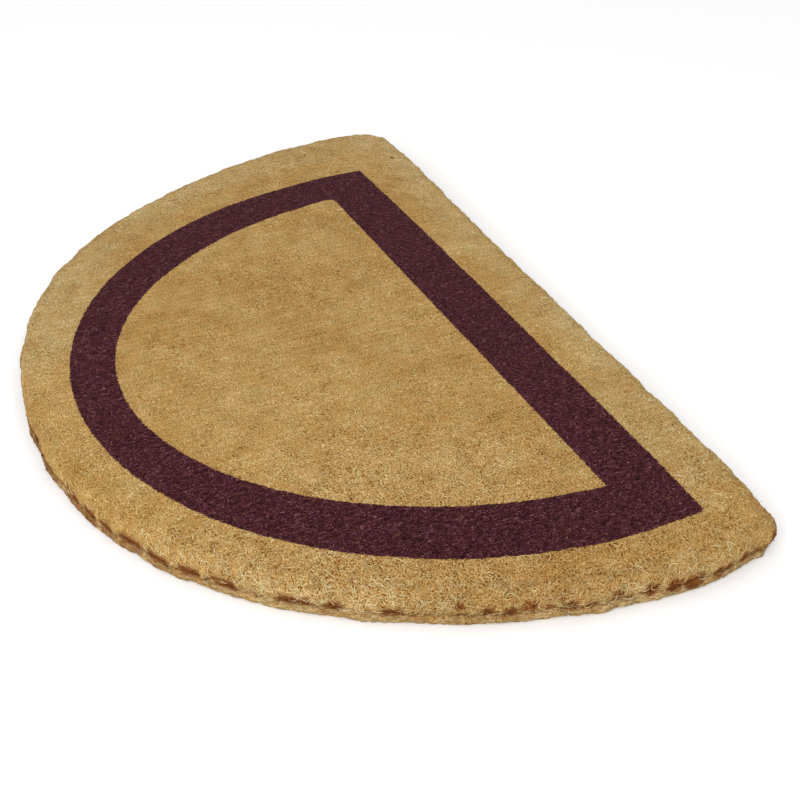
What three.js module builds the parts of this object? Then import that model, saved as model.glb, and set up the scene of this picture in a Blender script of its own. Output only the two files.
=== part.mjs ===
// A thick half-round doormat of coir, in millimetres, +Z up.
// The straight side lies along X at +Y, and the curved side bulges towards -Y.
// The origin is on the floor, at the middle of the mat's width and depth.
// The dark frame on the pile is dye alone, so it has no relief here.
import * as THREE from 'three';

// The mat as a whole
const MAT_WIDTH = 990;
const MAT_DEPTH = 610;
const MAT_HEIGHT = 34;

// The plan: an ellipse's arc, cut off by the straight side, with a rounded corner at each end
const CURVE_HALF_WIDTH = 489.5;
const CURVE_HALF_DEPTH = 501.5;
const STRAIGHT_SIDE_Y = 95; // measured from the ellipse's centre
const STRAIGHT_SIDE_BOW = 13; // how far the straight side swells at its middle
const LEFT_CORNER_RADIUS = 34; // at -X
const RIGHT_CORNER_RADIUS = 30; // at +X
const STEPS_ROUND = 216;

// The edge was cut and bound by hand, so it wanders in and out in slow waves round the mat.
// turns: waves in one way round, height: in or out, crest: share of the way round from the left corner
const SLOW_WAVES = [
  { turns: 1, height: 2.1, crest: 0.628 },
  { turns: 2, height: 8.5, crest: 0.445 },
  { turns: 3, height: 4.3, crest: 0.326 },
  { turns: 4, height: 3.0, crest: 0.21 },
  { turns: 5, height: 2.3, crest: 0.01 },
];

// The tufts of the pile and the strands of the binding make the edge slightly lumpy.
const SMALL_LUMPS = [
  { turns: 29, height: 0.6, crest: 0.013 },
  { turns: 43, height: 0.5, crest: 0.007 },
];

// The binding: coir yarn laid round the foot of the mat and sewn to it, flat where it lies on the floor
const BINDING_WIDTH = 11;
const SEWN_GAP = 0.3;
const BINDING_SECTION = [
  { out: -BINDING_WIDTH + 1.2, up: 0, lumps: 0 },
  { out: -1.2, up: 0, lumps: 1 },
  { out: 0.4, up: 2.4, lumps: 1 },
  { out: 0.6, up: 5.4, lumps: 1 },
  { out: -0.8, up: 8.5, lumps: 1 },
  { out: -3.8, up: 10.3, lumps: 0.5 },
  { out: -7.8, up: 10.2, lumps: 0 },
  { out: -BINDING_WIDTH + 0.4, up: 7.6, lumps: 0 },
  { out: -BINDING_WIDTH, up: 3.6, lumps: 0 },
];

// The mat's edge cut across, from its underside to its top. The woven base stands behind the binding,
// the pile spreads out over it, and the sheared top rounds off into the side.
const MAT_SECTION = [
  { out: -BINDING_WIDTH - SEWN_GAP, up: 0, lumps: 0 },
  { out: -BINDING_WIDTH - SEWN_GAP, up: 11, lumps: 0 },
  { out: -6.0, up: 12.6, lumps: 0.3 },
  { out: -1.6, up: 15.0, lumps: 1 },
  { out: 0, up: 19.0, lumps: 1 },
  { out: -1.0, up: 24.0, lumps: 1 },
  { out: -4.5, up: 29.0, lumps: 1 },
  { out: -10.0, up: 32.5, lumps: 0.6 },
  { out: -18.0, up: MAT_HEIGHT, lumps: 0 },
];

const COIR_COLOUR = 0xbe9b64;
const BINDING_COLOUR = 0xae8d5a;

// Where a corner arc of this radius sits: its centre, touching the straight side and the ellipse from
// inside, and the angle at which it meets the ellipse.
function cornerOf(radius) {
  const y = STRAIGHT_SIDE_Y - radius;
  const halfWidth = CURVE_HALF_WIDTH - radius;
  const halfDepth = CURVE_HALF_DEPTH - radius;
  const rise = Math.asin(y / halfDepth);
  const x = halfWidth * Math.cos(rise);
  return { x, y, rise, meets: Math.atan2(y / halfDepth ** 2, x / halfWidth ** 2) };
}

// The plain D of the plan, anticlockwise from where the left corner ends.
function plainPath() {
  const left = cornerOf(LEFT_CORNER_RADIUS);
  const right = cornerOf(RIGHT_CORNER_RADIUS);
  const path = new THREE.Path();
  path.absellipse(0, 0, CURVE_HALF_WIDTH, CURVE_HALF_DEPTH, Math.PI - left.rise, right.rise, false);
  path.absarc(right.x, right.y, RIGHT_CORNER_RADIUS, right.meets, Math.PI / 2, false);
  const bowHandle = STRAIGHT_SIDE_Y + 2 * STRAIGHT_SIDE_BOW;
  path.quadraticCurveTo((right.x - left.x) / 2, bowHandle, -left.x, STRAIGHT_SIDE_Y);
  path.absarc(-left.x, left.y, LEFT_CORNER_RADIUS, Math.PI / 2, Math.PI - left.meets, false);
  return path;
}

// How far the edge stands out, summed over a table of waves, at a share of the way round.
function waveHeight(waves, share) {
  return waves.reduce(
    (sum, { turns, height, crest }) => sum + height * Math.cos(2 * Math.PI * turns * (share - crest)),
    0,
  );
}

// The direction that faces outwards at each point of a closed anticlockwise line.
function outwardAt(points) {
  return points.map((_, i) => {
    const before = points.at(i - 1);
    const after = points[(i + 1) % points.length];
    return new THREE.Vector2(after.y - before.y, before.x - after.x).normalize();
  });
}

// The same closed line with each point moved outwards by its own distance.
function movedOut(points, distances) {
  const out = outwardAt(points);
  return points.map((point, i) => point.clone().addScaledVector(out[i], distances[i]));
}

// The hand-made edge line: the plain D with its slow waves, with the outward direction and the height
// of the small lumps at each of its points. It is brought to the mat's width and depth over the widest
// line of the binding, and centred on the origin.
function planOfMat() {
  const plain = plainPath().getSpacedPoints(STEPS_ROUND).slice(0, STEPS_ROUND);
  const lumps = plain.map((_, i) => waveHeight(SMALL_LUMPS, i / STEPS_ROUND));
  const slow = plain.map((_, i) => waveHeight(SLOW_WAVES, i / STEPS_ROUND));
  const line = movedOut(plain, slow);
  const reach = Math.max(...BINDING_SECTION.map((row) => row.out));
  const widest = movedOut(line, lumps.map((lump) => lump + reach));
  const box = new THREE.Box2().setFromPoints(widest);
  const middle = box.getCenter(new THREE.Vector2());
  const size = box.getSize(new THREE.Vector2());
  const scale = new THREE.Vector2(MAT_WIDTH / size.x, MAT_DEPTH / size.y);
  const points = line.map((point) => point.sub(middle).multiply(scale));
  return { points, out: outwardAt(points), lumps };
}

// One ring of vertices round the mat for one row of a section table.
function ringOf(plan, row) {
  return plan.points.flatMap((point, i) => {
    const reach = row.out + row.lumps * plan.lumps[i];
    return [point.x + reach * plan.out[i].x, point.y + reach * plan.out[i].y, row.up];
  });
}

// Triangles between two rings, facing outwards when the second ring lies further along the section.
function stripBetween(lower, upper) {
  const triangles = [];
  for (let i = 0; i < STEPS_ROUND; i += 1) {
    const next = (i + 1) % STEPS_ROUND;
    const [a, b] = [lower * STEPS_ROUND + i, lower * STEPS_ROUND + next];
    const [c, d] = [upper * STEPS_ROUND + i, upper * STEPS_ROUND + next];
    triangles.push(a, b, d, a, d, c);
  }
  return triangles;
}

// Triangles that fill one ring flat, facing up, or down when turned.
function lidOver(ring, positions, facingDown) {
  const first = ring * STEPS_ROUND;
  const line = [];
  for (let i = first; i < first + STEPS_ROUND; i += 1) {
    line.push(new THREE.Vector2(positions[3 * i], positions[3 * i + 1]));
  }
  return THREE.ShapeUtils.triangulateShape(line, []).flatMap(([a, b, c]) =>
    (facingDown ? [a, c, b] : [a, b, c]).map((corner) => corner + first),
  );
}

function geometryFrom(positions, triangles) {
  const geometry = new THREE.BufferGeometry();
  geometry.setAttribute('position', new THREE.Float32BufferAttribute(positions, 3));
  geometry.setIndex(triangles);
  geometry.computeVertexNormals();
  return geometry;
}

// A solid slab whose side follows a section from the underside to the top.
function slabGeometry(plan, section) {
  const positions = section.flatMap((row) => ringOf(plan, row));
  const top = section.length - 1;
  const side = section.slice(1).flatMap((_, i) => stripBetween(i, i + 1));
  const lids = [...lidOver(0, positions, true), ...lidOver(top, positions, false)];
  return geometryFrom(positions, [...side, ...lids]);
}

// A closed cord whose section goes all the way round it.
function cordGeometry(plan, section) {
  const positions = section.flatMap((row) => ringOf(plan, row));
  const skin = section.flatMap((_, i) => stripBetween(i, (i + 1) % section.length));
  return geometryFrom(positions, skin);
}

function coirMaterial(colour) {
  return new THREE.MeshStandardMaterial({ color: colour, roughness: 0.95, metalness: 0 });
}

function namedMesh(name, geometry, colour) {
  const mesh = new THREE.Mesh(geometry, coirMaterial(colour));
  mesh.name = name;
  return mesh;
}

const plan = planOfMat();
const doormat = new THREE.Group();
doormat.add(
  namedMesh('pile_mat', slabGeometry(plan, MAT_SECTION), COIR_COLOUR),
  namedMesh('edge_binding', cordGeometry(plan, BINDING_SECTION), BINDING_COLOUR),
);

export default doormat;
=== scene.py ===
"""A thick half-round coir doormat with a dyed frame, finished in Blender.

Lengths are in metres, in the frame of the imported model: the underside lies on the floor, and the
straight side runs along X at +Y. The curved side bulges towards -Y.
"""

# %% [markdown]
# # A coir doormat
# Coir is the brown fibre of the coconut husk. A maker lays tufts of it in a woven base, shears the top
# level, binds the foot with a coir yarn and prints a frame on the pile with dye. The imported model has
# the two solids of the mat. This lesson makes their finer surfaces, the loose fibres and the finish.

import math

import bpy
import numpy as np
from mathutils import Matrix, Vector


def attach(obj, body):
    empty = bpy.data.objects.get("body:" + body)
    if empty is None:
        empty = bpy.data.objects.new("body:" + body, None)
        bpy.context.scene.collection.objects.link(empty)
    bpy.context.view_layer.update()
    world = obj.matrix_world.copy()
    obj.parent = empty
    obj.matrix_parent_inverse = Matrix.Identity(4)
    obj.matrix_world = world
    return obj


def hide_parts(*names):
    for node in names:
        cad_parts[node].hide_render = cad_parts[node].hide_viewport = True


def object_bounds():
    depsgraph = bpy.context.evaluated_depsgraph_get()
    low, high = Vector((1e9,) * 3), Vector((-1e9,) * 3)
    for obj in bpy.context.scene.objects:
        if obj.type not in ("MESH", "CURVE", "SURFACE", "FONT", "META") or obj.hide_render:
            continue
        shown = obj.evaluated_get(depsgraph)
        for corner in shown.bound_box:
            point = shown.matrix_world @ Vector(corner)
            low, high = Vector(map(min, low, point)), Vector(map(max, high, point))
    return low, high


MM = 0.001
TAU = 2 * np.pi

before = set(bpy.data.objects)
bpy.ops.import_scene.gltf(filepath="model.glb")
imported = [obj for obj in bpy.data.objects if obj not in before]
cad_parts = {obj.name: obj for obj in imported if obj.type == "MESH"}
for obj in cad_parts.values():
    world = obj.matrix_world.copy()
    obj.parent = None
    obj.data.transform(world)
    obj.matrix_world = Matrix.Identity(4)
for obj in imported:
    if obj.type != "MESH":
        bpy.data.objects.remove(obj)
cad_low, cad_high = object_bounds()
mat_size = np.subtract(cad_high, cad_low)[:2]
mat_height = cad_high[2]
print("the packed model has", len(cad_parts), "nodes")
print("the mat measures", mat_size, "and is", mat_height, "thick")

# %% [markdown]
# ## The camera
# The photograph looks down on the mat from a metre away, with the straight side on the right. A camera
# can be turned with angles or aimed at a target. Here it stands on a line that leaves the target at a
# known angle, so that the angle of view reads straight from the numbers.

# %% Place the camera
AZIMUTH = math.radians(66.51)
ELEVATION = math.radians(36.09)
DISTANCE = 1.0701
AIM = np.array([0.1834, 0.0456, mat_height])
LENS = 47.58  # millimetres, as is the sensor's width
SENSOR_WIDTH = 36
NEAREST_SEEN = 0.01

level = math.cos(ELEVATION)
backwards = np.array([math.sin(AZIMUTH) * level, -math.cos(AZIMUTH) * level, math.sin(ELEVATION)])
camera = bpy.data.objects.new("camera", bpy.data.cameras.new("camera"))
bpy.context.collection.objects.link(camera)
camera.location = AIM + DISTANCE * backwards
camera.rotation_euler = (math.pi / 2 - ELEVATION, 0, AZIMUTH)
camera.data.lens = LENS
camera.data.sensor_width = SENSOR_WIDTH
camera.data.clip_start = NEAREST_SEEN
bpy.context.scene.camera = camera
print("the camera stands at", np.round(camera.location, 3))

# %% [markdown]
# ## The plan of the mat
# From above the mat is a D: an ellipse's arc, cut off by a nearly straight side, with two rounded
# corners. It was cut and bound by hand, so its edge wanders by a few millimetres. It could be drawn as
# one long list of points. Made from arcs and a few waves it stays smooth at any number of points, and
# each number has a meaning.

# %% Measure the plan
CURVE_HALF = np.array([489.5, 501.5]) * MM
STRAIGHT_SIDE_Y = 95 * MM  # from the ellipse's centre
STRAIGHT_SIDE_BOW = 13 * MM
LEFT_CORNER = 34 * MM
RIGHT_CORNER = 30 * MM
BINDING_REACH = 0.6 * MM
# turns round the mat, height, share of the way round where it crests
SLOW_WAVES = np.array(
    [[1, 2.1, 0.628], [2, 8.5, 0.445], [3, 4.3, 0.326], [4, 3.0, 0.21], [5, 2.3, 0.01]]
)
SMALL_LUMPS = np.array([[29, 0.6, 0.013], [43, 0.5, 0.007]])
ARC_STEPS = 1500


def wave_height(waves, share):
    """The sum of height times the cosine of turns times the share past the crest."""
    turns, height, crest = waves.T
    return MM * (height * np.cos(TAU * turns * (share[:, None] - crest))).sum(1)


def corner(radius):
    """The centre of a corner arc that touches the straight side and the ellipse, the ellipse's angle
    there, and the arc's own angle there."""
    up = STRAIGHT_SIDE_Y - radius
    half = CURVE_HALF - radius
    rise = np.arcsin(up / half[1])
    across = half[0] * np.cos(rise)
    return across, up, rise, np.arctan2(up / half[1] ** 2, across / half[0] ** 2)


def arc(centre, half, start, stop, steps=ARC_STEPS):
    """Centre plus half-width times cosine, and half-depth times sine, from start to stop."""
    turn = np.linspace(start, stop, steps)
    return np.stack([centre[0] + half[0] * np.cos(turn), centre[1] + half[1] * np.sin(turn)], 1)


# %% Measure lines
def unit(vectors):
    """Each vector divided by its length."""
    return vectors / np.linalg.norm(vectors, axis=-1, keepdims=True)


def turned(directions):
    """Unit vectors a quarter clockwise from these directions."""
    x, y = unit(directions).T
    return np.stack([y, -x], 1)


def outward(points):
    """The direction of a closed line at each point, turned a quarter clockwise."""
    return turned(np.roll(points, -1, 0) - np.roll(points, 1, 0))


def gone_along(line):
    """How far along a line each of its points lies, by its first two columns."""
    steps = np.linalg.norm(np.diff(line[:, :2], axis=0), axis=1)
    return np.concatenate([[0], np.cumsum(steps)])


def at_stops(line, stops):
    """The rows of a line at these distances along it, every column blended alike."""
    gone = gone_along(line)
    return np.stack([np.interp(stops, gone, column) for column in line.T], 1)


# %% Lay the arcs round the mat
def plain_plan(count):
    """The ellipse's arc, the right corner, the bowed side and the left corner, at even steps."""
    left_x, left_y, left_rise, left_meets = corner(LEFT_CORNER)
    right_x, right_y, right_rise, right_meets = corner(RIGHT_CORNER)
    t = np.linspace(0, 1, ARC_STEPS)[:, None]
    ends = np.array([[right_x, STRAIGHT_SIDE_Y], [-left_x, STRAIGHT_SIDE_Y]])
    handle = np.array([(right_x - left_x) / 2, STRAIGHT_SIDE_Y + 2 * STRAIGHT_SIDE_BOW])
    side = (1 - t) ** 2 * ends[0] + 2 * t * (1 - t) * handle + t**2 * ends[1]
    parts = [
        arc((0, 0), CURVE_HALF, np.pi - left_rise, TAU + right_rise, 4 * ARC_STEPS),
        arc((right_x, right_y), (RIGHT_CORNER, RIGHT_CORNER), right_meets, np.pi / 2),
        side,
        arc((-left_x, left_y), (LEFT_CORNER, LEFT_CORNER), np.pi / 2, np.pi - left_meets),
    ]
    line = np.concatenate(parts)
    return at_stops(line, np.arange(count) / count * gone_along(line)[-1])


def plan_of_mat(count):
    """The plain plan moved outwards by its slow waves and brought to the mat's size over the widest
    line of the binding. Gives the points, their outward directions and the small lumps."""
    share = np.arange(count) / count
    plain = plain_plan(count)
    lumps = wave_height(SMALL_LUMPS, share)
    line = plain + wave_height(SLOW_WAVES, share)[:, None] * outward(plain)
    widest = line + (lumps + BINDING_REACH)[:, None] * outward(line)
    low, high = widest.min(0), widest.max(0)
    points = (line - (low + high) / 2) * mat_size / (high - low)
    return points, outward(points), lumps


STEPS_ROUND = 960
plan, plan_out, plan_lumps = plan_of_mat(STEPS_ROUND)
round_length = gone_along(np.concatenate([plan, plan[:1]]))[-1]
print("once round the mat is", round(round_length, 3), "in", STEPS_ROUND, "steps")

# %% [markdown]
# ## Sums for shapes and finishes alike
# A shape is worked out from numpy arrays, and a finish from a net of nodes. A net wired by hand soon
# grows hard to read, so a node's socket is wrapped in a small class here, and arithmetic on it adds
# the Math nodes. One formula then works on arrays and on sockets, and the dyed frame and the brushed
# part of the pile are written once for both.

# %% Wrap a socket
class Socket:
    """One output of a node. Arithmetic on it adds Math nodes to the same material."""

    def __init__(self, tree, output=None):
        self.tree = tree
        self.output = output

    def node(self, kind, settings=None, inputs=None, output=0):
        """Adds a node, sets its settings and then its inputs, and gives one of its outputs."""
        made = self.tree.nodes.new("ShaderNode" + kind)
        for name, value in (settings or {}).items():
            setattr(made, name, value)
        for key, value in (inputs or {}).items():
            if isinstance(value, Socket):
                self.tree.links.new(value.output, made.inputs[key])
            else:
                made.inputs[key].default_value = value
        return Socket(self.tree, made.outputs[output] if made.outputs else None)

    def math(self, operation, *terms):
        return self.node("Math", {"operation": operation}, dict(enumerate(terms)))

    def __add__(self, other):
        return self.math("ADD", self, other)

    def __sub__(self, other):
        return self.math("SUBTRACT", self, other)

    def __rsub__(self, other):
        return self.math("SUBTRACT", other, self)

    def __mul__(self, other):
        return self.math("MULTIPLY", self, other)

    def __truediv__(self, other):
        return self.math("DIVIDE", self, other)

    def __rtruediv__(self, other):
        return self.math("DIVIDE", other, self)

    __radd__ = __add__
    __rmul__ = __mul__


# %% Functions that take arrays and sockets alike
def least(a, b):
    return a.math("MINIMUM", a, b) if isinstance(a, Socket) else np.minimum(a, b)


def at_least(a, b):
    return a.math("MAXIMUM", a, b) if isinstance(a, Socket) else np.maximum(a, b)


def root(a):
    return a.math("SQRT", a) if isinstance(a, Socket) else np.sqrt(a)


def apart(a, b):
    """How far two values are from each other, whichever is the larger."""
    return at_least(a - b, b - a)


def rise(value, low, high):
    """0 below low, 1 above high, and in between t squared times (3 - 2t)."""
    if isinstance(value, Socket):
        inputs = {"Value": value, "From Min": low, "From Max": high}
        return value.node("MapRange", {"interpolation_type": "SMOOTHSTEP"}, inputs)
    t = np.clip((value - low) / (high - low), 0, 1)
    return t * t * (3 - 2 * t)


# %% [markdown]
# ## Soft unevenness
# Nothing on a coir mat is even: tufts lean, the shears dip, the yarn swells. Blender's texture nodes
# give such unevenness to a finish, but not to a mesh worked out in numpy. One small function gives it
# here: random numbers on the crossings of a grid, blended smoothly in between.

# %% Make unevenness from random numbers on a grid
LATTICE_SIDE = 32
LATTICE_LAYERS = 4
LATTICE = np.random.default_rng(11).uniform(-1, 1, (LATTICE_LAYERS,) + (LATTICE_SIDE,) * 3)


def uneven(places, size, layer=0):
    """Random values from -1 to 1 on a cubic grid of this size. Between the crossings they are blended
    with the weight t squared times (3 - 2t) along each axis."""
    cells = np.asarray(places) / size
    first = np.floor(cells).astype(int)
    t = rise(cells - first, 0, 1)
    total = 0
    for step in np.ndindex(2, 2, 2):
        weight = np.prod(np.where(step, t, 1 - t), axis=-1)
        i, j, k = np.moveaxis((first + step) % LATTICE_SIDE, -1, 0)
        total = total + weight * LATTICE[layer, i, j, k]
    return total


def flat_places(x, y):
    """Places on the level top, for unevenness that ignores height."""
    return np.stack([x, y, np.full_like(x, 0.5)], -1)


TUFT_ROWS = 9.5 * MM  # from one row of tufts to the next
BRUSHED_AT = (0.43, -0.03)  # the middle of the part where the pile was brushed up
BRUSHED_RADII = (0.24, 0.29)


def brushed(x, y):
    """One less the squared distance from the brushed part's middle in radii, and never below 0."""
    right = (x - BRUSHED_AT[0]) / BRUSHED_RADII[0]
    up = (y - BRUSHED_AT[1]) / BRUSHED_RADII[1]
    return at_least(1 - right * right - up * up, 0 * x)


def top_relief(x, y):
    """How far the sheared top stands above or below its level: broad swells, tufts and tuft rows.
    Tufts stand out more where the pile was brushed up."""
    places = flat_places(x, y)
    broad = 0.6 * MM * uneven(places, 46 * MM, 1)
    tufts = 0.25 * MM * uneven(places, 7.5 * MM, 2) * (1 + 2.2 * brushed(x, y))
    rows = 0.12 * MM * np.cos(TAU * (x + 2 * MM * uneven(places, 30 * MM)) / TUFT_ROWS)
    return broad + tufts + rows


def top_level(x, y):
    return mat_height + top_relief(x, y)


# %% Say where the rust colour and the painted shade under the lip show
NEAR_EDGE = (0.4, 0.43)  # along X, from none of the near edge to all of it
# the near edge's patches of rust colour and painted shade under the lip, in millimetres: where along Y,
# how high up, and how far each reaches
RUST_AND_SHADE_PATCHES = [
    (-17, 21, 4), (4, 15, 5.5), (23, 13, 5.5), (38, 18, 6), (54, 14, 5),
    (73, 14, 6), (87, 13, 5), (112, 16, 5.5), (142, 14, 6.5), (165, 14, 8),
    (184, 12, 9), (210, 12, 6.5), (222, 13, 6.5), (238, 14, 6), (278, 17, 8),
]


def near_patches(places):
    """From 0 to 1: how far inside one of the near edge's patches of rust colour and painted shade, which
    have ragged rims.
    """
    x, y, z = np.moveaxis(np.asarray(places), -1, 0)
    ragged = 0.35 * uneven(places, 3 * MM, 1)
    inside = np.zeros_like(x)
    for along, up, reach in RUST_AND_SHADE_PATCHES:
        away = np.hypot(y - along * MM, z - up * MM) / (reach * MM) + ragged
        inside = np.maximum(inside, 1 - rise(away, 0.7, 1.3))
    return inside * rise(x, *NEAR_EDGE)


def rust_and_hollow_shade(places):
    """From 0 to 1: how much dark rust colour is painted. It stands partly for fibre that the light
    never bleached and partly for painted shade in the hollows between the lip and the binding:
    spots where the lip stands off the binding, or the known patches on the near edge, and small
    flecks all along between the two. At the far left the rust reaches down to the floor."""
    x, y, z = np.moveaxis(np.asarray(places), -1, 0)
    far_left = rise(-y, 0.17, 0.27)
    known = rise(x, *NEAR_EDGE) * rise(y, -0.05, 0)
    spots = rise(uneven(flat_places(x, y), 12 * MM, 2) + 0.5 * far_left, 0.12, 0.3) * (1 - known)
    flecks = 0.7 * rise(uneven(places, 4.5 * MM, 1), -0.2, 0.35) * (1 - rise(z, 13 * MM, 17 * MM))
    below_lip = 1 - rise(z, 16 * MM, 22 * MM)
    over_binding = rise(z, 7 * MM, 10 * MM)
    at_left = far_left * (1 - 0.45 * over_binding)
    usual = np.maximum(spots * below_lip, flecks) * np.maximum(over_binding, 0.7 * at_left)
    return np.maximum(usual, near_patches(places))


# %% [markdown]
# ## The pile and its woven base
# The mat itself is a slab of standing fibre 34 mm thick. Cut across, its edge has a base that the
# binding hides, a lip of pile that spreads over the binding, and a shoulder where the sheared top
# rolls over. Sculpting could give this form. A profile carried round the plan gives it with every step
# under control. Rings that shrink towards the middle close the top and the underside, and they halve
# their points as they shrink, so that the triangles stay of a size.

# %% Draw the edge's profile
BINDING_WIDTH = 11.0
SEWN_GAP = 0.3
BASE = -BINDING_WIDTH - SEWN_GAP
# out from the plan line and up from the floor in millimetres, then the share of the lumps taken
MAT_SECTION = [
    [BASE, 0, 0],
    [BASE, 11, 0],
    [-2.6, 11.2, 0.3],
    [-0.3, 12.8, 1],
    [0.2, 17.5, 1],
    [-1.0, 24.0, 1],
    [-4.5, 29.0, 1],
    [-10.0, 32.5, 0.6],
    [-18.0, 34.0, 0],
]
CORNER_CUTS = 2


def rounded(rows, closed=False):
    """Cuts each corner of a profile at a quarter and three quarters of its sides, several times."""
    rows = np.array(rows)
    for _ in range(CORNER_CUTS):
        after = np.roll(rows, -1, 0) if closed else rows[1:]
        before = rows if closed else rows[:-1]
        near = 0.75 * before + 0.25 * after
        far = 0.25 * before + 0.75 * after
        cut = np.stack([near, far], 1).reshape(-1, rows.shape[1])
        rows = cut if closed else np.concatenate([rows[:1], cut, rows[-1:]])
    return rows


def spaced(rows, step):
    """A profile in millimetres with its rows at even steps along it, turned into metres."""
    length = gone_along(rows)[-1]
    return at_stops(rows, np.linspace(0, length, round(length / step) + 1)) * [MM, MM, 1]


mat_section = spaced(rounded(MAT_SECTION), 2.0)
section_up = mat_section[:, 1]
row_count = len(mat_section)
print("the edge's profile has", row_count, "rows")


# %% Carry the profile round the plan
def rings_of(section, points, out, lumps):
    """The plan point, plus the outward direction times the row's reach, at the row's height."""
    reach = section[:, 0, None] + section[:, 2, None] * lumps
    level = points + reach[..., None] * out
    height = np.broadcast_to(section[:, 1, None, None], reach.shape + (1,))
    return np.concatenate([level, height], 2)


def bell(points, middle, reach):
    """1 at the middle, falling off as a bell curve of this reach."""
    return np.exp(-((np.linalg.norm(points - middle, axis=-1) / reach) ** 2))


UPPER_PART = (24 * MM, 33 * MM)  # from none of the shoulder to all of it, going up
SQUARER = 4.5 * MM  # how much further the shoulder stands out along the straight side
STRAIGHT_PART = (0.16, 0.27)  # from none of it to all of it along Y
NEAR_CORNER = np.array([0.475, 0.285])  # the corner next to the camera, pinched and drawn in
NEAR_CORNER_IN = 7 * MM  # how far the shoulder is drawn in there
BELOW_CORNER = np.array([0.491, 0.260])  # where the curved side reaches that corner
LIP_IN = 5 * MM  # how far the lip is drawn in there
side = rings_of(mat_section, plan, plan_out, plan_lumps)
facing = turned(np.gradient(mat_section[:, :2], axis=0))
stretched = side * [1, 1, 0.45]  # tufts on the side stand taller than they are wide
tufts_on_side = 0.8 * uneven(stretched, 6.5 * MM, 3) + 0.9 * uneven(stretched, 13 * MM, 1)
loose = np.clip((section_up - 11 * MM) / (6 * MM), 0, 1)  # the sewn foot stays in line
off_foot = rise(loose, 0, 0.3)
level_part = np.clip((section_up - 32 * MM) / (2 * MM), 0, 1)
push = MM * tufts_on_side * (loose * (1 - level_part))[:, None]
lifted = (2.0 * MM * rust_and_hollow_shade(side) - 1.2 * MM) * (off_foot * (1 - loose))[:, None]
upper = rise(section_up, *UPPER_PART)[:, None]
squarer = upper * SQUARER * rise(plan[:, 1], *STRAIGHT_PART)
corner_in = upper * NEAR_CORNER_IN * bell(plan, NEAR_CORNER, 35 * MM)
lip_in = off_foot[:, None] * LIP_IN * bell(plan, BELOW_CORNER, 18 * MM)
side[..., :2] += (squarer - corner_in - lip_in + push * facing[:, 0, None])[..., None] * plan_out
side[..., 2] += push * facing[:, 1, None] + lifted
side[..., 2] += top_relief(side[..., 0], side[..., 1]) * level_part[:, None]
side_places = side.reshape(-1, 3)
print("the side has", len(side_places), "points")


# %% Join rings with triangles
def joined_rings(outer, inner, outer_first, inner_first):
    """Triangles between two rings. The inner one has as many points, or half as many."""
    i = np.arange(outer)
    after = (i + 1) % outer
    if inner == outer:
        a, b, c, d = outer_first + i, outer_first + after, inner_first + i, inner_first + after
        return np.concatenate([np.stack([a, b, d], 1), np.stack([a, d, c], 1)])
    j = np.arange(inner)
    a, b, c = (outer_first + (2 * j + k) % outer for k in (0, 1, 2))
    d, e = inner_first + j, inner_first + (j + 1) % inner
    return np.concatenate([np.stack(t, 1) for t in ([a, b, d], [b, e, d], [b, c, e])])


def joined_rows(grid, closed=False):
    """Triangles between each ring of a grid and the next, and back to the first if it is closed."""
    count, steps = grid.shape[:2]
    firsts = [(r * steps, (r + 1) % count * steps) for r in range(count if closed else count - 1)]
    return np.concatenate([joined_rings(steps, steps, *pair) for pair in firsts])


# %% Close the top and the underside with rings that shrink
FEWEST_ROUND = 60


def shrinking_lid(rim, rim_first, next_free, rings, level):
    """Rings from a rim to the origin, each the rim times a share that falls from 1 to 0, at the level
    given for X and Y. They halve their points whenever their steps get down to half."""
    places, corners = [], []
    count, start = len(rim), rim_first
    for k in range(1, rings):
        share = 1 - k / rings
        halvings = int(np.floor(-np.log2(share) + 1e-9))  # an exact half counts
        here = max(len(rim) // 2**halvings, FEWEST_ROUND)
        x, y = share * rim[:: len(rim) // here, :2].T
        places.append(np.stack([x, y, level(x, y)], 1))
        corners.append(joined_rings(count, here, start, next_free))
        count, start = here, next_free
        next_free += here
    i = np.arange(count)
    middle = np.zeros(1)
    places.append(np.stack([middle, middle, level(middle, middle)], 1))
    corners.append(np.stack([start + i, start + (i + 1) % count, np.full(count, next_free)], 1))
    return np.concatenate(places), np.concatenate(corners)


def floor_level(x, y):
    return 0 * x


TOP_RINGS = 76
UNDERSIDE_RINGS = 12
side_corners = joined_rows(side)
so_far = len(side_places)
last_row = so_far - STEPS_ROUND
top_places, top_corners = shrinking_lid(side[-1], last_row, so_far, TOP_RINGS, top_level)
so_far += len(top_places)
under_places, under_corners = shrinking_lid(side[0], 0, so_far, UNDERSIDE_RINGS, floor_level)
print("the top has", len(top_corners), "triangles and the underside", len(under_corners))

# %% [markdown]
# ## From arrays to pieces
# Blender wants a mesh's points, corners and faces. `from_pydata` takes lists and is slow for many
# thousand points, so `foreach_set` is used here, which copies a whole array at once. Each piece is
# then told which body it moves with and which finish it takes.

# %% Turn arrays into a Blender piece
def piece_from(name, materials, places, corners, numbers):
    """A smooth-shaded mesh of triangles that rides on the mat's only body. At each of its points it
    keeps the given numbers under their names, for its finish to read."""
    mesh = bpy.data.meshes.new(name)
    mesh.vertices.add(len(places))
    mesh.vertices.foreach_set("co", np.ascontiguousarray(places, dtype=np.float32).ravel())
    mesh.loops.add(corners.size)
    mesh.loops.foreach_set("vertex_index", corners.astype(np.int32).ravel())
    mesh.polygons.add(len(corners))
    mesh.polygons.foreach_set("loop_start", np.arange(0, corners.size, 3, dtype=np.int32))
    mesh.polygons.foreach_set("use_smooth", np.ones(len(corners), dtype=bool))
    mesh.update(calc_edges=True)
    for material in materials:
        mesh.materials.append(material)
    for label, values in numbers.items():
        kept = mesh.attributes.new(label, "FLOAT", "POINT")
        kept.data.foreach_set("value", np.ascontiguousarray(values, dtype=np.float32))
    made = bpy.data.objects.new(name, mesh)
    bpy.context.collection.objects.link(made)
    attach(made, "root")
    print(name, "has", len(corners), "triangles")
    return made


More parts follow.
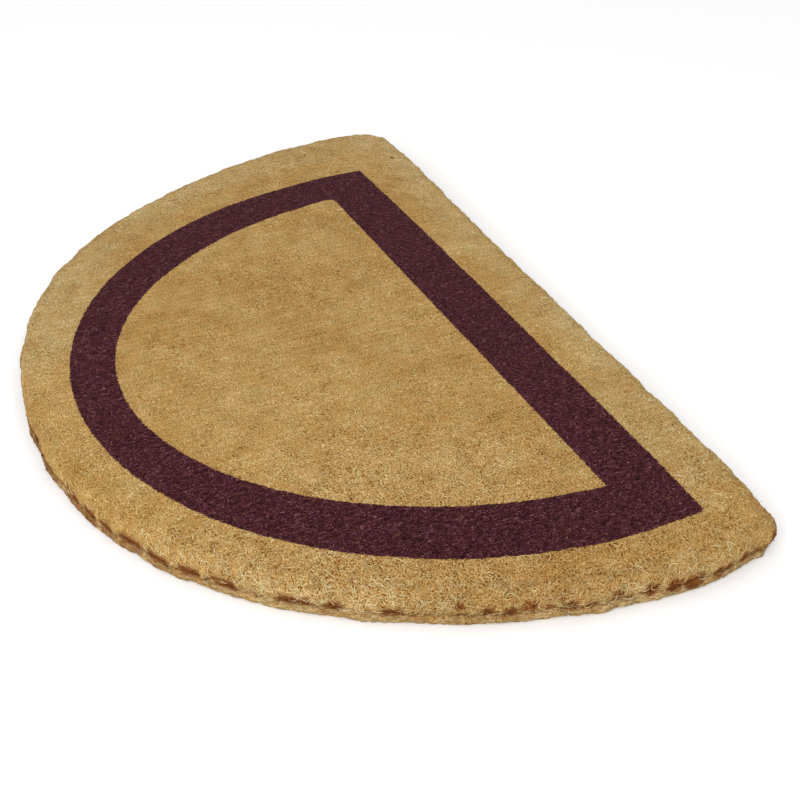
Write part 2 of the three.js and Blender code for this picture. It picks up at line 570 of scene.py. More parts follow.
# %% [markdown]
# ## The dyed frame
# The frame is printed on the pile: an outer D and an inner D, both an ellipse cut off by a straight
# line. A picture could hold it. A formula is sharp from near and far, and it tells a fibre as well as
# a finish whether it is dyed. It gives the rough distance to the nearest edge, which can then be made
# soft or ragged.

# %% Measure the printed frame
PRINT_AT = np.array([47.1, 224.2]) * MM  # the middle of the frame's straight outer edge
PRINT_TURN = math.radians(1.14)
OUTER_HALF = np.array([397.9, 438.5]) * MM
OUTER_CENTRE = 42.0 * MM  # how far each ellipse's centre lies in from the straight outer edge
INNER_HALF = np.array([334.0, 417.2]) * MM
INNER_CENTRE = 16.8 * MM
EDGE_OUT = 1.5 * MM  # how far the straight outer edge stands out at its fullest,
FULLEST_AT = -150 * MM  # how far along the print that is,
EDGE_BOW = 5.5 * MM  # and how far the edge has fallen back
BOW_REACH = 540 * MM  # at this distance from there
FLARE_DEPTH = 120 * MM  # the far outer corner flares out over this depth
# these change along the print: their size at its middle, and what they gain in a metre
FLARE = (2.5 * MM, -10 * MM)
OUTER_ROUNDING = (2.5 * MM, 8 * MM)
INNER_ROUNDING = (8.2 * MM, -24 * MM)
BAND_WIDTH = (67.5 * MM, -6 * MM)  # of the dye, along the straight side


def changing(across, at_middle, gain):
    """Such a size, this far along the print."""
    return at_middle + gain * across


def inside_oval(x, y, half):
    """One less the distance from the centre in half-widths and half-depths, times the half-depth."""
    return (1 - root(x * x / half[0] ** 2 + y * y / half[1] ** 2)) * half[1]


def frame_axes(x, y):
    """A place in the print's own axes: along its straight outer edge, and inwards from it."""
    cos, sin = math.cos(PRINT_TURN), math.sin(PRINT_TURN)
    across = (x - PRINT_AT[0]) * cos + (y - PRINT_AT[1]) * sin
    inwards = (x - PRINT_AT[0]) * sin - (y - PRINT_AT[1]) * cos
    return across, inwards


def least_rounded(a, b, rounding):
    """The lesser of two distances, but where they differ by less than the rounding, it gives way to
    a blend that rounds the corner."""
    shared = at_least(rounding - apart(a, b), 0 * rounding)
    return least(a, b) - shared * shared / (4 * at_least(rounding, 0 * rounding + 0.1 * MM))


def inside_outer(x, y):
    """The least of the distances in from the bowed straight edge and from the outer curve, which
    flares out by its share of the flare's depth, most at the far end."""
    across, inwards = frame_axes(x, y)
    bend = (across - FULLEST_AT) / BOW_REACH
    from_edge = inwards + EDGE_OUT - EDGE_BOW * bend * bend
    flare = at_least(1 - inwards / FLARE_DEPTH, 0 * inwards) * changing(across, *FLARE)
    from_curve = inside_oval(across, inwards - OUTER_CENTRE, OUTER_HALF) + flare
    return least_rounded(from_edge, from_curve, changing(across, *OUTER_ROUNDING))


def inside_inner(x, y):
    """The same for the inner D, whose far corner is the rounder one."""
    across, inwards = frame_axes(x, y)
    from_side = inwards - changing(across, *BAND_WIDTH)
    from_curve = inside_oval(across, inwards - INNER_CENTRE, INNER_HALF)
    return least_rounded(from_side, from_curve, changing(across, *INNER_ROUNDING))


def frame_depth(x, y):
    """How far a place lies inside the dyed band, negative outside it."""
    return least(inside_outer(x, y), 0 - inside_inner(x, y))


band_middle = frame_depth(*np.array([0.05, 0.19]))
print("half of the band's width is", round(band_middle * 1000), "mm on the straight side")

# %% [markdown]
# ## The finish of the coir
# Seen close, coir runs from rust through gold to pale straw, with dark gaps between the fibres. One
# ramp of colours holds that range, its darkest end partly painted shade for those gaps, and a number
# from 0 to 1 picks a place on it. The surface takes the number from noise of several sizes, a loose
# fibre from the value it carries. The dye has a ramp of its own, from the near black of the painted
# shade in the gaps to the mauve of the lit fibres.

# %% Mix the colours
BRIGHT = 0.75  # the light is a little stronger than white paper needs, so the colours hold back


def paint(code):
    """A colour such as 0xbe9b64 as Blender wants it: each part to the power of its display curve."""
    parts = np.array([code >> 16 & 255, code >> 8 & 255, code & 255]) / 255
    linear = np.where(parts < 0.04045, parts / 12.92, ((parts + 0.055) / 1.055) ** 2.4)
    return (*(linear * BRIGHT), 1.0)


COIR_STOPS = [
    (0.0, paint(0x64280A)),
    (0.2, paint(0x98561E)),
    (0.5, paint(0xB79051)),
    (0.78, paint(0xCCA86A)),
    (1.0, paint(0xF0D8A4)),
]
# unbleached rust-coloured fibre; its dark stops also paint the shade in the hollows under the lip
RUST_AND_SHADE_STOPS = [(0.0, paint(0x381A0A)), (0.5, paint(0x78401E)), (1.0, paint(0xA46A36))]
DYE_STOPS = [
    (0.0, paint(0x200A0D)),
    (0.35, paint(0x431D22)),
    (0.7, paint(0x66363C)),
    (1.0, paint(0xA07478)),
]
RUSTY = (1.02, 0.975, 0.93, 1.0)
STRAW = (0.985, 1.02, 1.01, 1.0)
YARN = (0.99, 1.07, 1.32, 1.0)  # the yarn is a little greyer than the pile
PALE = (1.12, 1.16, 1.22, 1.0)  # and the loose curls are the palest of all
UNCHANGED = (1.0, 1.0, 1.0, 1.0)
# paler, greyer pile on some rims; along the straight side this is painted light, as if lit from above
PALE_AND_LIT = (1.06, 1.18, 1.42, 1.0)
# darker and browner, on one stretch of the near margin
DARKER_BROWNER = (0.9, 0.84, 0.76, 1.0)
BROWNISH = (1.0, 1.06, 0.88, 1.0)
PURPLE = (1.0, 0.95, 1.16, 1.0)


# %% Nodes that every finish uses
MIX_SHARE, MIX_LOW, MIX_HIGH, MIX_COLOUR = 0, 6, 7, 2  # the Mix node's sockets for colours


def ramp(share, stops):
    """The colour at this share of a ramp, which has a stop at 0, one at 1 and others between."""
    colour = share.node("ValToRGB", {}, {"Fac": share})
    elements = colour.output.node.color_ramp.elements
    for place, _ in stops[1:-1]:
        elements.new(place)
    for element, (_, tone) in zip(elements, stops):
        element.color = tone
    return colour


def blend(share, low, high):
    """The colour low where the share is 0, and high where it is 1."""
    inputs = {MIX_SHARE: share, MIX_LOW: low, MIX_HIGH: high}
    return share.node("Mix", {"data_type": "RGBA"}, inputs, MIX_COLOUR)


def tinted(colour, tint):
    """A colour times another, part by part."""
    settings = {"data_type": "RGBA", "blend_type": "MULTIPLY"}
    return colour.node("Mix", settings, {MIX_SHARE: 1.0, MIX_LOW: colour, MIX_HIGH: tint}, MIX_COLOUR)


def noise(place, size, detail, roughness=0.5, output=0):
    """Noise whose patches are about this size, mostly between 0.3 and 0.7."""
    inputs = {"Vector": place, "Scale": 1 / size, "Detail": detail, "Roughness": roughness}
    return place.node("TexNoise", {}, inputs, output)


def drawn_out(place, size, bearing=0.0):
    """A place turned to a bearing and measured in units of this size along each axis."""
    inputs = {"Vector": place, "Rotation": (0, 0, bearing), "Scale": size}
    return place.node("Mapping", {"vector_type": "TEXTURE"}, inputs)


def parts_of(place):
    """The place along X, Y and Z."""
    return [place.node("SeparateXYZ", {}, {"Vector": place}, i) for i in range(3)]


def bumps(height, depth, strength):
    """The surface's direction, as if this height of it stood out by the depth."""
    return height.node("Bump", {}, {"Strength": strength, "Distance": depth, "Height": height})


def carried(place, name):
    """The number of this name that a piece keeps at its points."""
    return place.node("Attribute", {"attribute_name": name}, {}, "Fac")


def new_finish(name):
    """An empty material and the place, a first socket to add nodes from."""
    material = bpy.data.materials.new(name)
    material.use_nodes = True
    material.node_tree.nodes.clear()
    return material, Socket(material.node_tree).node("TexCoord", output="Object")


def close_finish(place, colour, roughness, normal=None):
    """The shader of dry plant fibre: rough, with hardly any gloss."""
    inputs = {"Base Color": colour, "Roughness": roughness, "Specular IOR Level": 0.04}
    if normal:
        inputs["Normal"] = normal
    place.node("OutputMaterial", {}, {"Surface": place.node("BsdfPrincipled", {}, inputs)})


# %% Where the pile is paler or browner
RIM_CENTRE = 196.0 * MM  # of the plan's ellipse, along Y
FAR_RIM = (60 * MM, 95 * MM)  # in from the plan line, over which the pale far rim fades
FAR_HALF = (-20 * MM, 80 * MM)  # and towards -X, over which it sets in
STRAIGHT_RIM = (232 * MM, 278 * MM)  # along Y, as is the next
NEAR_END_BEGINS = (200 * MM, 225 * MM)
NEAR_END = (200 * MM, 280 * MM)  # along X, as is the next
BEFORE_CORNER = (390 * MM, 450 * MM)
DARKER_STRETCH_AT = (460 * MM, 50 * MM)
DARKER_STRETCH_NARROWER = 3  # times narrower across the margin than along it
DARKER_STRETCH_RIM = (0.003, 0.012)  # the squared distances over which it fades


def pale_and_lit_rims(x, y):
    """From 0 to 1: the paler pile of the far half's rim, and painted light on the straight side's rim
    and on the whole margin just short of the near corner, whose top is painted paler as if lit more
    from above."""
    from_rim = inside_oval(x, y - RIM_CENTRE, CURVE_HALF)
    far = (1 - rise(from_rim, *FAR_RIM)) * rise(0 - x, *FAR_HALF)
    straight = rise(y, *STRAIGHT_RIM)
    near_end = rise(y, *NEAR_END_BEGINS) * rise(x, *NEAR_END)
    before_corner = 1 - rise(x, *BEFORE_CORNER)
    return at_least(far, at_least(straight, near_end) * before_corner * 0.9)


def darker_near_stretch(x, y):
    """From 0 to 1: the darker, browner stretch of the near margin."""
    across, along = (x - DARKER_STRETCH_AT[0]) * DARKER_STRETCH_NARROWER, y - DARKER_STRETCH_AT[1]
    return 1 - rise(along * along + across * across, *DARKER_STRETCH_RIM)


# %% Patterns that several finishes share
def coir_colour(place, shade, rust_and_shade=None, tint=None):
    """The ramp's colour at this shade, tinted rusty in some patches and straw in others, paler on some
    margins, along the straight side as painted light, and darker and browner on one. The share of
    rust and painted shade leads over to the ramp of unbleached fibre, which also paints that shade."""
    x, y, _ = parts_of(place)
    patches = rise(noise(place, 15 * MM, 3.0, 0.6), 0.40, 0.60)
    coir = tinted(ramp(shade, COIR_STOPS), blend(patches, RUSTY, STRAW))
    coir = tinted(coir, blend(pale_and_lit_rims(x, y), UNCHANGED, PALE_AND_LIT))
    coir = tinted(coir, blend(darker_near_stretch(x, y), UNCHANGED, DARKER_BROWNER))
    if tint:
        coir = tinted(coir, tint)
    return blend(rust_and_shade, coir, ramp(shade, RUST_AND_SHADE_STOPS)) if rust_and_shade else coir


def dye_colour(place, shade):
    """The dye's ramp at this shade, a little browner in some patches and more purple in others."""
    patches = rise(noise(place, 4 * MM, 2.0), 0.4, 0.6)
    return tinted(ramp(shade, DYE_STOPS), blend(patches, BROWNISH, PURPLE))


def broad_shade(place):
    """Slow changes of shade, as from one lot of fibre to the next: patches and broad swells."""
    return (noise(place, 24 * MM, 3.0) - 0.5) * 0.42 + (noise(place, 90 * MM, 1.0) - 0.5) * 0.25


STRAND_BEARINGS = 5
FIRST_BEARING = 0.3


def crossing_strands(place, width, length):
    """Noise drawn out along several bearings, of which the highest lies on top. The place is shaken
    first by softer noise, so that the strands curl."""
    shaken = {0: noise(place, 6 * MM, 1.0, output=1), 1: (3 * MM,) * 3, 2: place}
    curled = place.node("VectorMath", {"operation": "MULTIPLY_ADD"}, shaken)
    top = None
    for k in range(STRAND_BEARINGS):
        bearing = FIRST_BEARING + k * math.pi / STRAND_BEARINGS
        strand = noise(drawn_out(curled, (length, width, width), bearing), 1.0, 0.0)
        top = at_least(top, strand) if top else strand
    return top


# %% The sheared pile
def pile_finish():
    """Crossing strands and fine noise for the fibres, with dots for the gaps between them, dark rust
    that is partly the fibre's own colour and partly painted shade, and specks for pale cut ends."""
    material, place = new_finish("sheared coir pile")
    x, y, z = parts_of(place)
    rough = brushed(x, y)
    strands = crossing_strands(place, 0.8 * MM, 5 * MM) - 0.62
    fibre_ends = noise(place, 1.5 * MM, 1.0) - 0.5
    grain = noise(place, 0.85 * MM, 0.0) - 0.5
    gathered = rise(noise(place, 15 * MM, 3.0, 0.6), 0.46, 0.62)  # the gaps crowd together here
    # dark dots for the gaps between fibres: partly rust colour, partly painted shade
    dots = rise(noise(place, 1.8 * MM, 1.0) + gathered * 0.08 - 0.01, 0.58, 0.66)
    specks = rise(noise(place, 1.5 * MM, 0.0), 0.68, 0.76)
    fine = fibre_ends * 0.9 + grain * (0.3 + rough * 0.8) + strands * (0.8 + rough * 0.3)
    fine = fine - dots * (0.30 + rough * 0.18) + specks * 0.14
    rows = place.math("COSINE", (x + (noise(place, 30 * MM, 1.0) - 0.5) * (8 * MM)) * (TAU / TUFT_ROWS))
    shade = 0.6 + fine + rows * 0.03 + broad_shade(place)
    coir = coir_colour(place, shade, carried(place, "rust_and_shade"))
    streaks = noise(drawn_out(place, (1.3 * MM, 8 * MM, 1.3 * MM)), 1.0, 1.0) - 0.5
    dye = dye_colour(place, 0.34 + strands * 2.0 + fibre_ends * 0.9 + streaks * 1.0)
    ragged = (noise(place, 3.0 * MM, 2.0, 0.7) - 0.5) * (5.5 * MM)
    dyed = rise(frame_depth(x, y) + ragged, -0.3 * MM, 0.3 * MM) * rise(z, 0.030, 0.032)
    normal = bumps(fibre_ends * 0.8 + strands * 1.4 - dots * 0.5, 0.9 * MM, 0.7)
    close_finish(place, blend(dyed, coir, dye), 0.9 - dyed * 0.1, normal)
    return material


# %% Loose fibres
def fibre_finish(name, tint=None):
    """Each fibre has its own shade, moved by the same slow changes as the pile's."""
    material, place = new_finish(name)
    own, dyed, rust_and_shade = (carried(place, kept) for kept in ("shade", "dyed", "rust_and_shade"))
    coir = coir_colour(place, own + broad_shade(place), rust_and_shade, tint)
    close_finish(place, blend(dyed, coir, dye_colour(place, own)), 0.85 - dyed * 0.1)
    return material


# %% The woven back
WEFT_ROWS = 6 * MM


def back_finish():
    """Two crossing waves for the woven ground, with stray fibre over them."""
    material, place = new_finish("woven coir back")
    x, y, _ = parts_of(place)
    strays = noise(place, 3 * MM, 3.0)
    warp = place.math("SINE", x * (TAU / TUFT_ROWS) + strays)
    weft = place.math("SINE", y * (TAU / WEFT_ROWS) + strays)
    knots = 0.5 + warp * weft * 0.5
    shade = 0.1 + knots * 0.35 + (strays - 0.5) * 0.8
    close_finish(place, coir_colour(place, shade), 0.95, bumps(knots + strays, 1.5 * MM, 0.8))
    return material


# %% Put the mat together
mat_places = np.concatenate([side_places, top_places, under_places])
mat_corners = np.concatenate([side_corners, top_corners, under_corners[:, ::-1]])
finishes = [pile_finish(), back_finish()]
# each point's share of rust colour and of painted shade under the lip
rust_and_shade = {"rust_and_shade": rust_and_hollow_shade(mat_places)}
mat = piece_from("coir_mat", finishes, mat_places, mat_corners, rust_and_shade)
on_back = np.arange(len(mat_corners)) >= len(mat_corners) - len(under_corners)
mat.data.polygons.foreach_set("material_index", on_back.astype(np.int32))
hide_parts("pile_mat")

# %% [markdown]
# ## The binding
# A soft rope of coir yarn runs round the foot of the mat and is sewn to it. It shows as a woolly ridge
# under the lip, drawn in at the near corner. A curve with a round bevel would be too smooth. Here the
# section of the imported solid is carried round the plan, and its skin is raised into a few strands that
# wind slowly round it, and into lumps large and small.

# %% Make the bound edge
# its columns are those of the mat's section
BINDING_SECTION = [
    [-BINDING_WIDTH + 1.2, 0, 0],
    [-1.2, 0, 1],
    [0.4, 2.4, 1],
    [0.6, 5.4, 1],
    [-0.8, 8.5, 1],
    [-3.8, 10.3, 0.5],
    [-7.8, 10.2, 0],
    [-BINDING_WIDTH + 0.4, 7.6, 0],
    [-BINDING_WIDTH, 3.6, 0],
]
BINDING_STEPS = 1500
STRANDS = 4
STRAND_PITCH = 0.11  # how far a strand runs while it winds once round
NARROWER = 0.65  # the share of its width that the binding loses at the near corner
LOWER = 0.15  # and of its height

loop = rounded(BINDING_SECTION, closed=True)
binding_section = spaced(np.concatenate([loop, loop[:1]]), 1.7)[:-1]
ring_count = len(binding_section)
cord_plan, cord_out, cord_lumps = plan_of_mat(BINDING_STEPS)
cord = rings_of(binding_section, cord_plan, cord_out, cord_lumps)
share = np.arange(BINDING_STEPS) / BINDING_STEPS
spokes = binding_section[:, :2] - binding_section[:, :2].mean(0)
cord_facing = unit(spokes)
angle = np.arctan2(spokes[:, 1], spokes[:, 0])[:, None]
phase = STRANDS * (angle - TAU * round(round_length / STRAND_PITCH) * share)
strands = 0.5 * MM * (np.abs(np.sin((phase + 2.5 * uneven(cord, 40 * MM, 1)) / 2)) - 0.6)
cord_push = strands + 0.7 * MM * uneven(cord, 11 * MM, 2) + 0.8 * MM * uneven(cord, 4.5 * MM, 0)
tight = bell(cord_plan, NEAR_CORNER, 55 * MM)
spare = binding_section[:, 0, None] + BINDING_WIDTH * MM
cord_out_by = cord_push * cord_facing[:, 0, None] - NARROWER * tight * spare
cord[..., :2] += cord_out_by[..., None] * cord_out
cord[..., 2] *= 1 - LOWER * tight
cord[..., 2] = np.maximum(cord[..., 2] + cord_push * cord_facing[:, 1, None], 0)


# %% The binding's finish
def binding_finish():
    """Streaks that run with the yarn, drawn out along it, over fine noise for matted fibre."""
    material, place = new_finish("coir yarn")
    run, girth = carried(place, "along"), carried(place, "around")
    with_yarn = place.node("CombineXYZ", {}, {"X": run * 0.22, "Y": girth, "Z": run * 0.03})
    streaks = noise(with_yarn, 1.0 * MM, 1.0) - 0.5
    ends = noise(place, 1.3 * MM, 1.0) - 0.5
    # dark spots for the gaps between the yarn's fibres: painted shade
    gaps = rise(noise(place, 2.2 * MM, 1.0), 0.58, 0.68)
    shade = 0.64 + streaks * 1.1 + ends * 0.8 - gaps * 0.3 + broad_shade(place)
    normal = bumps(streaks + ends - gaps * 0.6, 1.0 * MM, 0.8)
    close_finish(place, coir_colour(place, shade, carried(place, "rust_and_shade"), YARN), 0.9, normal)
    return material


cord_places = cord.reshape(-1, 3)
cord_numbers = {
    "along": np.tile(share * round_length, ring_count),
    "around": np.repeat(gone_along(binding_section), BINDING_STEPS),
    "rust_and_shade": rust_and_hollow_shade(cord_places),
}
cord_corners = joined_rows(cord, closed=True)
binding = piece_from(
    "coir_binding", [binding_finish()], cord_places, cord_corners, cord_numbers
)
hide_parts("edge_binding")

# %% [markdown]
# ## Fibres
# What makes coir look like coir is single fibres: short ones in the sheared top, longer pale curls at
# the lip. Blender's hair system would grow them, but hair isn't a mesh. Each fibre here is a bent
# spindle, a few triangles round an arched line, and thousands of them share one mesh.

# %% Make bent spindles
NO_HEADING = [0.31, 0.17, 0.94]  # a direction that no fibre follows closely


def spindles(roots, headings, lengths, bows, widths, rings):
    """Along each fibre s goes from 0 to 1. Its line is the root, plus the heading times s times the
    length, plus the bow times 4s(1 - s). Its half-width is the width times half the root of
    4s(1 - s), at three corners round the line."""
    count = len(roots)
    s = np.linspace(0, 1, rings + 2)
    arch = 4 * s * (1 - s)
    line = roots[:, None] + headings[:, None] * (s * lengths[:, None])[..., None]
    line = line + bows[:, None] * arch[:, None]
    across = unit(np.cross(headings, NO_HEADING))
    over = np.cross(headings, across)
    turn = TAU * np.arange(3) / 3
    spokes = across[:, None] * np.cos(turn)[:, None] + over[:, None] * np.sin(turn)[:, None]
    half = 0.5 * widths[:, None] * np.sqrt(arch[1:-1])
    bodies = line[:, 1:-1, None] + half[..., None, None] * spokes[:, None]
    points = np.concatenate([line[:, :1], bodies.reshape(count, -1, 3), line[:, -1:]], 1)
    j = np.arange(3)
    k = (j + 1) % 3
    last = 1 + 3 * rings
    faces = [np.stack([1 + k, 1 + j, 0 * j], 1)]
    for low in range(1, last - 3, 3):
        high = low + 3
        faces.append(np.stack([low + j, low + k, high + k], 1))
        faces.append(np.stack([low + j, high + k, high + j], 1))
    faces.append(np.stack([last - 3 + j, last - 3 + k, 0 * j + last], 1))
    corners = (np.arange(count) * (last + 1))[:, None, None] + np.concatenate(faces)
    return points.reshape(-1, 3), corners.reshape(-1, 3), last + 1


def fibre_piece(name, finish, fibres, shades, dyed=False, with_rust_and_shade=False, rings=1):
    """A piece of spindles, kept off the floor. Each has its shade and its dye, and where they are marked
    for it each point has its place's share of rust colour and painted shade under the lip."""
    places, corners, each = spindles(*fibres, rings)
    places[:, 2] = np.maximum(places[:, 2], 0.1 * MM)
    numbers = {
        "shade": np.repeat(shades, each),
        "dyed": np.repeat(dyed + 0 * shades, each),
        "rust_and_shade": rust_and_hollow_shade(places) if with_rust_and_shade else 0 * places[:, 2],
    }
    return piece_from(name, [finish], places, corners, numbers)


# %% Spread fibres over the top
rng = np.random.default_rng(7)
plan_angle = np.arctan2(plan[:, 1], plan[:, 0])
order = np.argsort(plan_angle)
plan_radius = np.linalg.norm(plan, axis=1)[order]
plan_angle = plan_angle[order]
ROLLED_OVER = 40 * MM  # the shoulder lies within this distance of the plan line


def inside_rim(x, y, margin):
    """Whether a place is nearer the middle than the plan line in that direction, less a margin."""
    reach = np.interp(np.arctan2(y, x), plan_angle, plan_radius, period=TAU)
    return np.hypot(x, y) < reach - margin


def pile_level(x, y):
    """The level of the top, which near the plan line falls with the edge's profile."""
    level = top_level(x, y)
    near = ~inside_rim(x, y, ROLLED_OVER)
    gaps = np.abs((x[near] + 1j * y[near])[:, None] - (plan[:, 0] + 1j * plan[:, 1]))
    inwards = gaps.min(1) + SQUARER * rise(y[near], *STRAIGHT_PART)
    out, up, _ = mat_section[section_up > UPPER_PART[0]][::-1].T
    level[near] += np.interp(-inwards, out, up) - mat_height
    return level


def scattered(step):
    """One random place in each cell of a square grid over the mat."""
    across, down = (np.arange(-size / 2, size / 2, step) for size in mat_size)
    x, y = (v.ravel() + rng.uniform(0, step, v.size) for v in np.meshgrid(across, down))
    return x, y


def directions(count, low, high):
    """Unit vectors at random bearings, with a rise above level between low and high."""
    bearing = rng.uniform(0, TAU, count)
    lift = rng.uniform(low, high, count)
    flat = np.cos(lift)
    return np.stack([flat * np.cos(bearing), flat * np.sin(bearing), np.sin(lift)], 1)


TOP_STEP = 2.0 * MM
FIELD_SHARE = 0.56  # of the places in the field that carry a fibre
MARGIN_SHARE = 0.42  # and in the margin, which is the widest part
UNDYED_SHARE = 0.004  # of the fibres in the frame that took no dye
x, y = scattered(TOP_STEP)
depth = frame_depth(x, y)
rough = brushed(x, y)
in_field = inside_inner(x, y) > -3 * MM
share_kept = np.where(in_field, FIELD_SHARE, MARGIN_SHARE + 0.1 * rough)
share_kept = np.where(depth > -1 * MM, 1.0, share_kept)
keep = inside_rim(x, y, 9 * MM) & (rng.uniform(0, 1, len(x)) < share_kept)
x, y, rough, depth, in_field = (v[keep] for v in (x, y, rough, depth, in_field))
count = len(x)
lengths = rng.uniform(3.0, 7.0, count) * (1 + 0.4 * rough) * MM
headings = directions(count, math.radians(1), math.radians(20))
along_rows = np.where(depth > 0, 0.45, 1.0)  # in the frame more of them lean along the tuft rows
headings = unit(headings * np.stack([along_rows, np.ones(count), np.ones(count)], 1))
z = pile_level(x, y) - 0.6 * MM - 0.35 * lengths * headings[:, 2]
roots = np.stack([x, y, z], 1) - headings * [1, 1, 0] * (0.5 * lengths)[:, None]
bows = directions(count, -0.2, 0.35) * (rng.uniform(0.05, 0.28, count) * lengths)[:, None]
widths = rng.uniform(0.3, 0.55, count) * MM


def fibre_shades(count, middle, spread):
    """Most fibres near the middle shade, one in twelve much darker and one in fifteen much paler."""
    kind = rng.uniform(0, 1, count)
    shade = rng.normal(middle, spread, count)
    shade -= (kind < 1 / 12) * 0.34
    shade += (kind > 14 / 15) * 0.2
    return np.clip(shade, 0, 1)


shades = fibre_shades(count, 0.64 + 0.07 * rough, 0.10 * (1 + rough))
in_frame = depth + rng.normal(0, 0.9 * MM, count) > 0
in_field &= ~in_frame
dyed = in_frame & (rng.uniform(0, 1, count) >= UNDYED_SHARE)
shades[in_frame] = np.clip(rng.normal(0.42, 0.27, in_frame.sum()), 0, 1)
print(count, "fibres in the sheared top,", in_frame.sum(), "of them in the frame")

# %% Sort them into the field, the frame and the margin
fibre = fibre_finish("coir fibre")
for name, mine in (
    ("field_fibres", in_field),
    ("frame_fibres", in_frame),
    ("margin_fibres", ~in_frame & ~in_field),
):
    fibres = (part[mine] for part in (roots, headings, lengths, bows, widths))
    fibre_piece(name, fibre, fibres, shades[mine], dyed[mine])

# %% [markdown]
# ## The lip and the binding's yarn
# At the edge the pile is longer and lies down over the side, and the yarn of the binding has loose
# strands that run along it. They are the same spindles with more rings, laid on the skin below them:
# each leans by its own share downwards, along the edge and outwards, while its middle bows away from
# the skin and its ends tuck in.

# %% Find places on a skin
TIGHTEST_TURN = 60 * MM  # of the plan, between its corners and its long sides


def on_skin(grid, facing, out, rows):
    """Random places in these rows of a grid, each blended between four points, and the directions
    there that face outwards, lead down the profile and lead along the edge."""
    steps = rng.uniform(0, grid.shape[1] - 0.01, len(rows))
    r, i = rows.astype(int), steps.astype(int)
    t, u = (rows % 1)[:, None], (steps % 1)[:, None]
    above, after = (r + 1) % len(grid), (i + 1) % grid.shape[1]
    low = grid[r, i] * (1 - u) + grid[r, after] * u
    high = grid[above, i] * (1 - u) + grid[above, after] * u
    level = out[i]
    away = np.concatenate([level * facing[r, 0, None], facing[r, 1, None]], 1)
    down = np.concatenate([level * facing[r, 1, None], -facing[r, 0, None]], 1)
    ahead = np.stack([-level[:, 1], level[:, 0], 0 * level[:, 0]], 1)
    return low * (1 - t) + high * t, away, down, ahead


def swayed(ways, spread, lengths):
    """These directions, each times a random share of the length."""
    return ways * (rng.normal(0, spread, len(lengths)) * lengths)[:, None]


def laid_on(skin, lean, lengths, tucks, bulges, roundness, loft=1):
    """Fibres whose headings sum three directions, each times its share, and whose middle stands off
    the skin by the bulge. The tuck sinks their ends in, and so does the fall of a circle as round as
    the skin: the squared length over eight radii, by how far the fibre leads down the profile. Both
    are random between the given millimetres, and the loft raises the bulge."""
    place, away, down, ahead = skin
    tuck = rng.uniform(*tucks, len(lengths)) * MM
    bulge = tuck + rng.uniform(*bulges, len(lengths)) * MM * loft
    headings = unit(down * lean[0][:, None] + ahead * lean[1][:, None] + away * lean[2][:, None])
    downwards = (headings * down).sum(1) ** 2
    fall = lengths**2 / 8 * (downwards / roundness + (1 - downwards) / TIGHTEST_TURN)
    roots = place - headings * (0.5 * lengths)[:, None] - away * (tuck + fall)[:, None]
    return roots, headings, away * (bulge + fall)[:, None]


# %% Lay down the lip
LIP_FIBRES = 12000
SIDE_ROUNDNESS = 13 * MM
count = LIP_FIBRES
skin = on_skin(side, facing, plan_out, rng.uniform(5, row_count - 2, count))
rough = brushed(skin[0][:, 0], skin[0][:, 1])
lengths = rng.triangular(4, 7, 12, count) * MM * (0.8 + 0.4 * rough)
loft = 1 + 2 * rough
lean = (
    rng.normal(0.6, 0.6, count),
    rng.normal(0, 0.8, count),
    rng.normal(0, 0.05, count) * loft,
)
roots, headings, bows = laid_on(skin, lean, lengths, (0.3, 0.8), (0.05, 0.35), SIDE_ROUNDNESS, loft)
bows += swayed(skin[3], 0.15, lengths)
widths = rng.uniform(0.35, 0.65, count) * MM
shades = fibre_shades(count, 0.67 + 0.13 * rough, 0.10 + 0.12 * rough)
fibres = (roots, headings, lengths, bows, widths)
fibre_piece("lip_fibres", fibre, fibres, shades, with_rust_and_shade=True, rings=2)

# %% Lay strands along the binding
BINDING_FIBRES = 7500
BINDING_ROUNDNESS = 6 * MM
SHOWN = 0.62  # of the rows, those that face outwards or up
count = BINDING_FIBRES
skin = on_skin(cord, cord_facing, cord_out, rng.uniform(1, SHOWN * ring_count, count))
lengths = rng.triangular(4, 8, 17, count) * MM
lean = (
    rng.normal(0, 0.4, count),
    rng.choice([-1.0, 1.0], count),  # back or ahead along the yarn
    rng.normal(0, 0.06, count),
)
roots, headings, bows = laid_on(skin, lean, lengths, (0.2, 0.6), (0.0, 0.7), BINDING_ROUNDNESS)
widths = rng.uniform(0.35, 0.7, count) * MM
shades = fibre_shades(count, 0.68, 0.18)
fibres = (roots, headings, lengths, bows, widths)
yarn_fibre = fibre_finish("coir yarn fibre", YARN)
fibre_piece("binding_fibres", yarn_fibre, fibres, shades, with_rust_and_shade=True, rings=2)

# %% [markdown]
# ## Curls, strays and scraps of husk
# The shears never catch every fibre. Long pale ones curl over the lip, most of them where the pile
# was brushed up, and a few lie on the top, among some scraps of brown husk placed one by one. All are
# spindles again, with more rings for a rounder bow.

# %% Scatter long strays over the top
x, y = scattered(8 * MM)
keep = inside_rim(x, y, 8 * MM) & (frame_depth(x, y) < -2 * MM)
on_field = inside_inner(x, y) > 0
keep &= rng.uniform(0, 1, len(x)) < 0.09 + np.where(on_field, 0.2, 0.6) * brushed(x, y)
x, y = x[keep], y[keep]
count = len(x)
lengths = rng.triangular(5, 9, 18, count) * MM
headings = directions(count, -0.05, 0.05)
z = pile_level(x, y) + rng.uniform(-0.3, 0.2, count) * MM
roots = np.stack([x, y, z], 1) - headings * (0.5 * lengths)[:, None]
sideways = swayed(np.cross(headings, [0, 0, 1.0]), 0.22, lengths)
bows = sideways + np.array([0, 0, 1.0]) * rng.uniform(0, 0.8, (count, 1)) * MM
strays = (roots, headings, lengths, bows)

